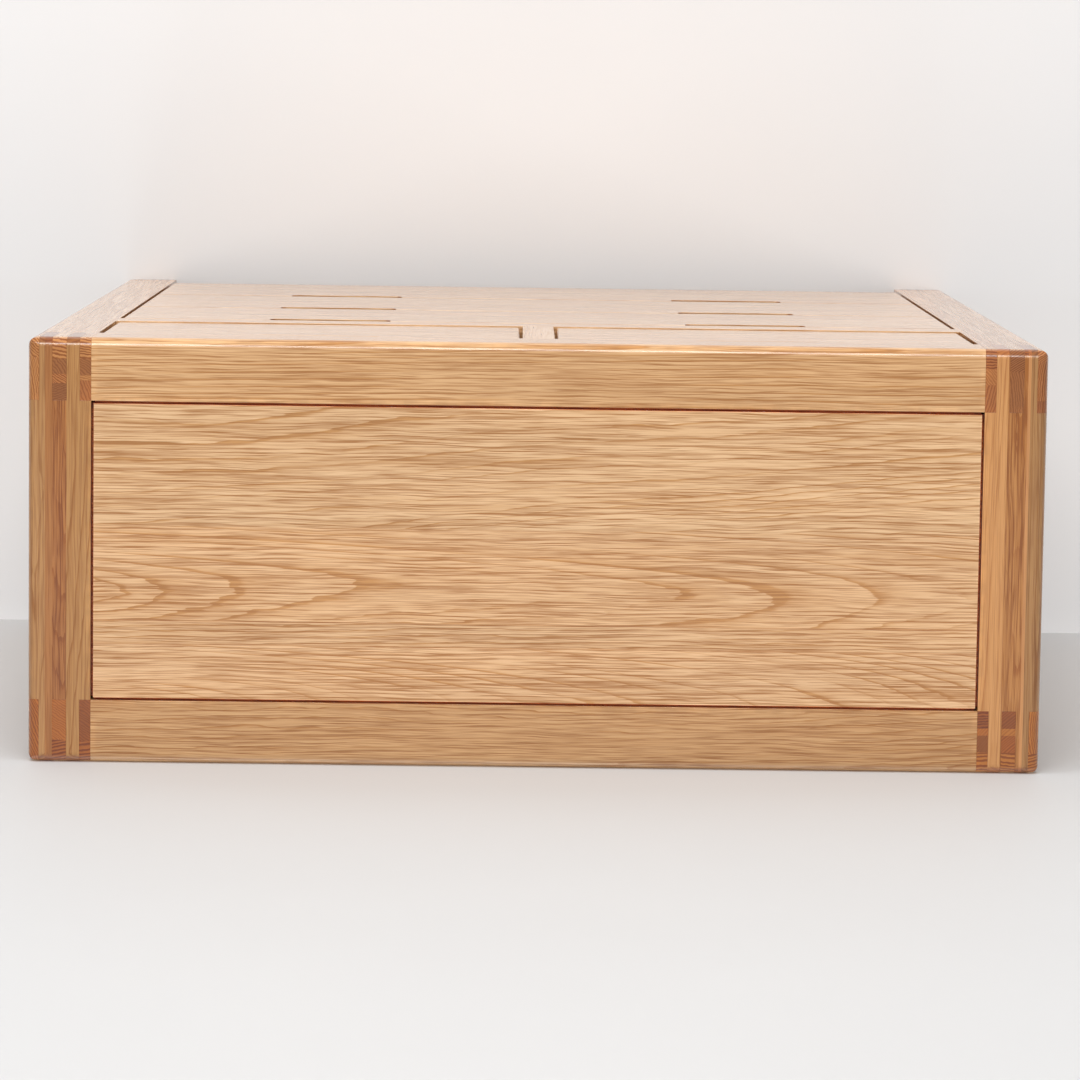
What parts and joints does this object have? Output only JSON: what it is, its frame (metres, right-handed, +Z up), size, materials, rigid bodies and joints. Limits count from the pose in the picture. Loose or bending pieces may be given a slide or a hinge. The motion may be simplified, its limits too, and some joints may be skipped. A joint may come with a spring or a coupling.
{
  "type": "chest of drawers",
  "caption": "Solid oak chest of drawers with a framed top, comb-jointed corners, finger slots, and small drawers over long ones that slide on wooden runners.",
  "frame": {"origin": "on the floor, under the middle of the chest", "axes": "+Z up from the feet to the framed top, -Y the way the drawer fronts face and the drawers open, +X to the right of someone who faces the drawers"},
  "size_m": [1, 0.42, 1.09],
  "materials": {
    "leg_oak": "satin lacquer",
    "frame_oak": "satin lacquer",
    "panel_oak": "satin lacquer",
    "front_oak": "satin lacquer",
    "drawer_oak": "sanded, clear sealed",
    "drawer_bottom_oak": "sanded, clear sealed",
    "inner_oak": "sanded, clear sealed",
    "runner_wood": "sanded, waxed",
    "screw_steel": "yellow zinc plated"
  },
  "bodies": {
    "carcass": {"leg_front_left": "leg_oak", "leg_front_right": "leg_oak", "leg_back_left": "leg_oak", "leg_back_right": "leg_oak", "side_top_rail_left": "frame_oak", "side_top_rail_right": "frame_oak", "top_rail_front": "frame_oak", "top_rail_back": "frame_oak", "top_panel": "panel_oak", "side_low_rail_left": "frame_oak", "side_low_rail_right": "frame_oak", "side_panel_left": "panel_oak", "side_panel_right": "panel_oak", "drawer_rail": "frame_oak", "divider_upright": "frame_oak", "partition": "inner_oak", "low_rail_front": "frame_oak", "low_rail_back": "frame_oak", "back_stile": "frame_oak", "back_panel_left": "inner_oak", "back_panel_right": "inner_oak", "bottom_board": "inner_oak", "runners_left": "runner_wood", "runners_right": "runner_wood", "runners_middle": "runner_wood", "corner_dowels": "runner_wood", "runner_screws": "screw_steel"},
    "small_left_drawer": {"small_left_front": "front_oak", "small_left_side_left": "drawer_oak", "small_left_side_right": "drawer_oak", "small_left_back": "drawer_oak", "small_left_bottom": "drawer_bottom_oak"},
    "small_right_drawer": {"small_right_front": "front_oak", "small_right_side_left": "drawer_oak", "small_right_side_right": "drawer_oak", "small_right_back": "drawer_oak", "small_right_bottom": "drawer_bottom_oak"},
    "long_upper_drawer": {"long_upper_front": "front_oak", "long_upper_side_left": "drawer_oak", "long_upper_side_right": "drawer_oak", "long_upper_back": "drawer_oak", "long_upper_bottom": "drawer_bottom_oak"},
    "long_middle_drawer": {"long_middle_front": "front_oak", "long_middle_side_left": "drawer_oak", "long_middle_side_right": "drawer_oak", "long_middle_back": "drawer_oak", "long_middle_bottom": "drawer_bottom_oak"},
    "long_lower_drawer": {"long_lower_front": "front_oak", "long_lower_side_left": "drawer_oak", "long_lower_side_right": "drawer_oak", "long_lower_back": "drawer_oak", "long_lower_bottom": "drawer_bottom_oak"}
  },
  "joints": [
    {"name": "small_left_slide", "type": "slide", "parent": "carcass", "child": "small_left_drawer", "axis": [0, -1, 0], "range_m": [0, 0.3]},
    {"name": "small_right_slide", "type": "slide", "parent": "carcass", "child": "small_right_drawer", "axis": [0, -1, 0], "range_m": [0, 0.3]},
    {"name": "long_upper_slide", "type": "slide", "parent": "carcass", "child": "long_upper_drawer", "axis": [0, -1, 0], "range_m": [0, 0.3]},
    {"name": "long_middle_slide", "type": "slide", "parent": "carcass", "child": "long_middle_drawer", "axis": [0, -1, 0], "range_m": [0, 0.3]},
    {"name": "long_lower_slide", "type": "slide", "parent": "carcass", "child": "long_lower_drawer", "axis": [0, -1, 0], "range_m": [0, 0.3]}
  ]
}
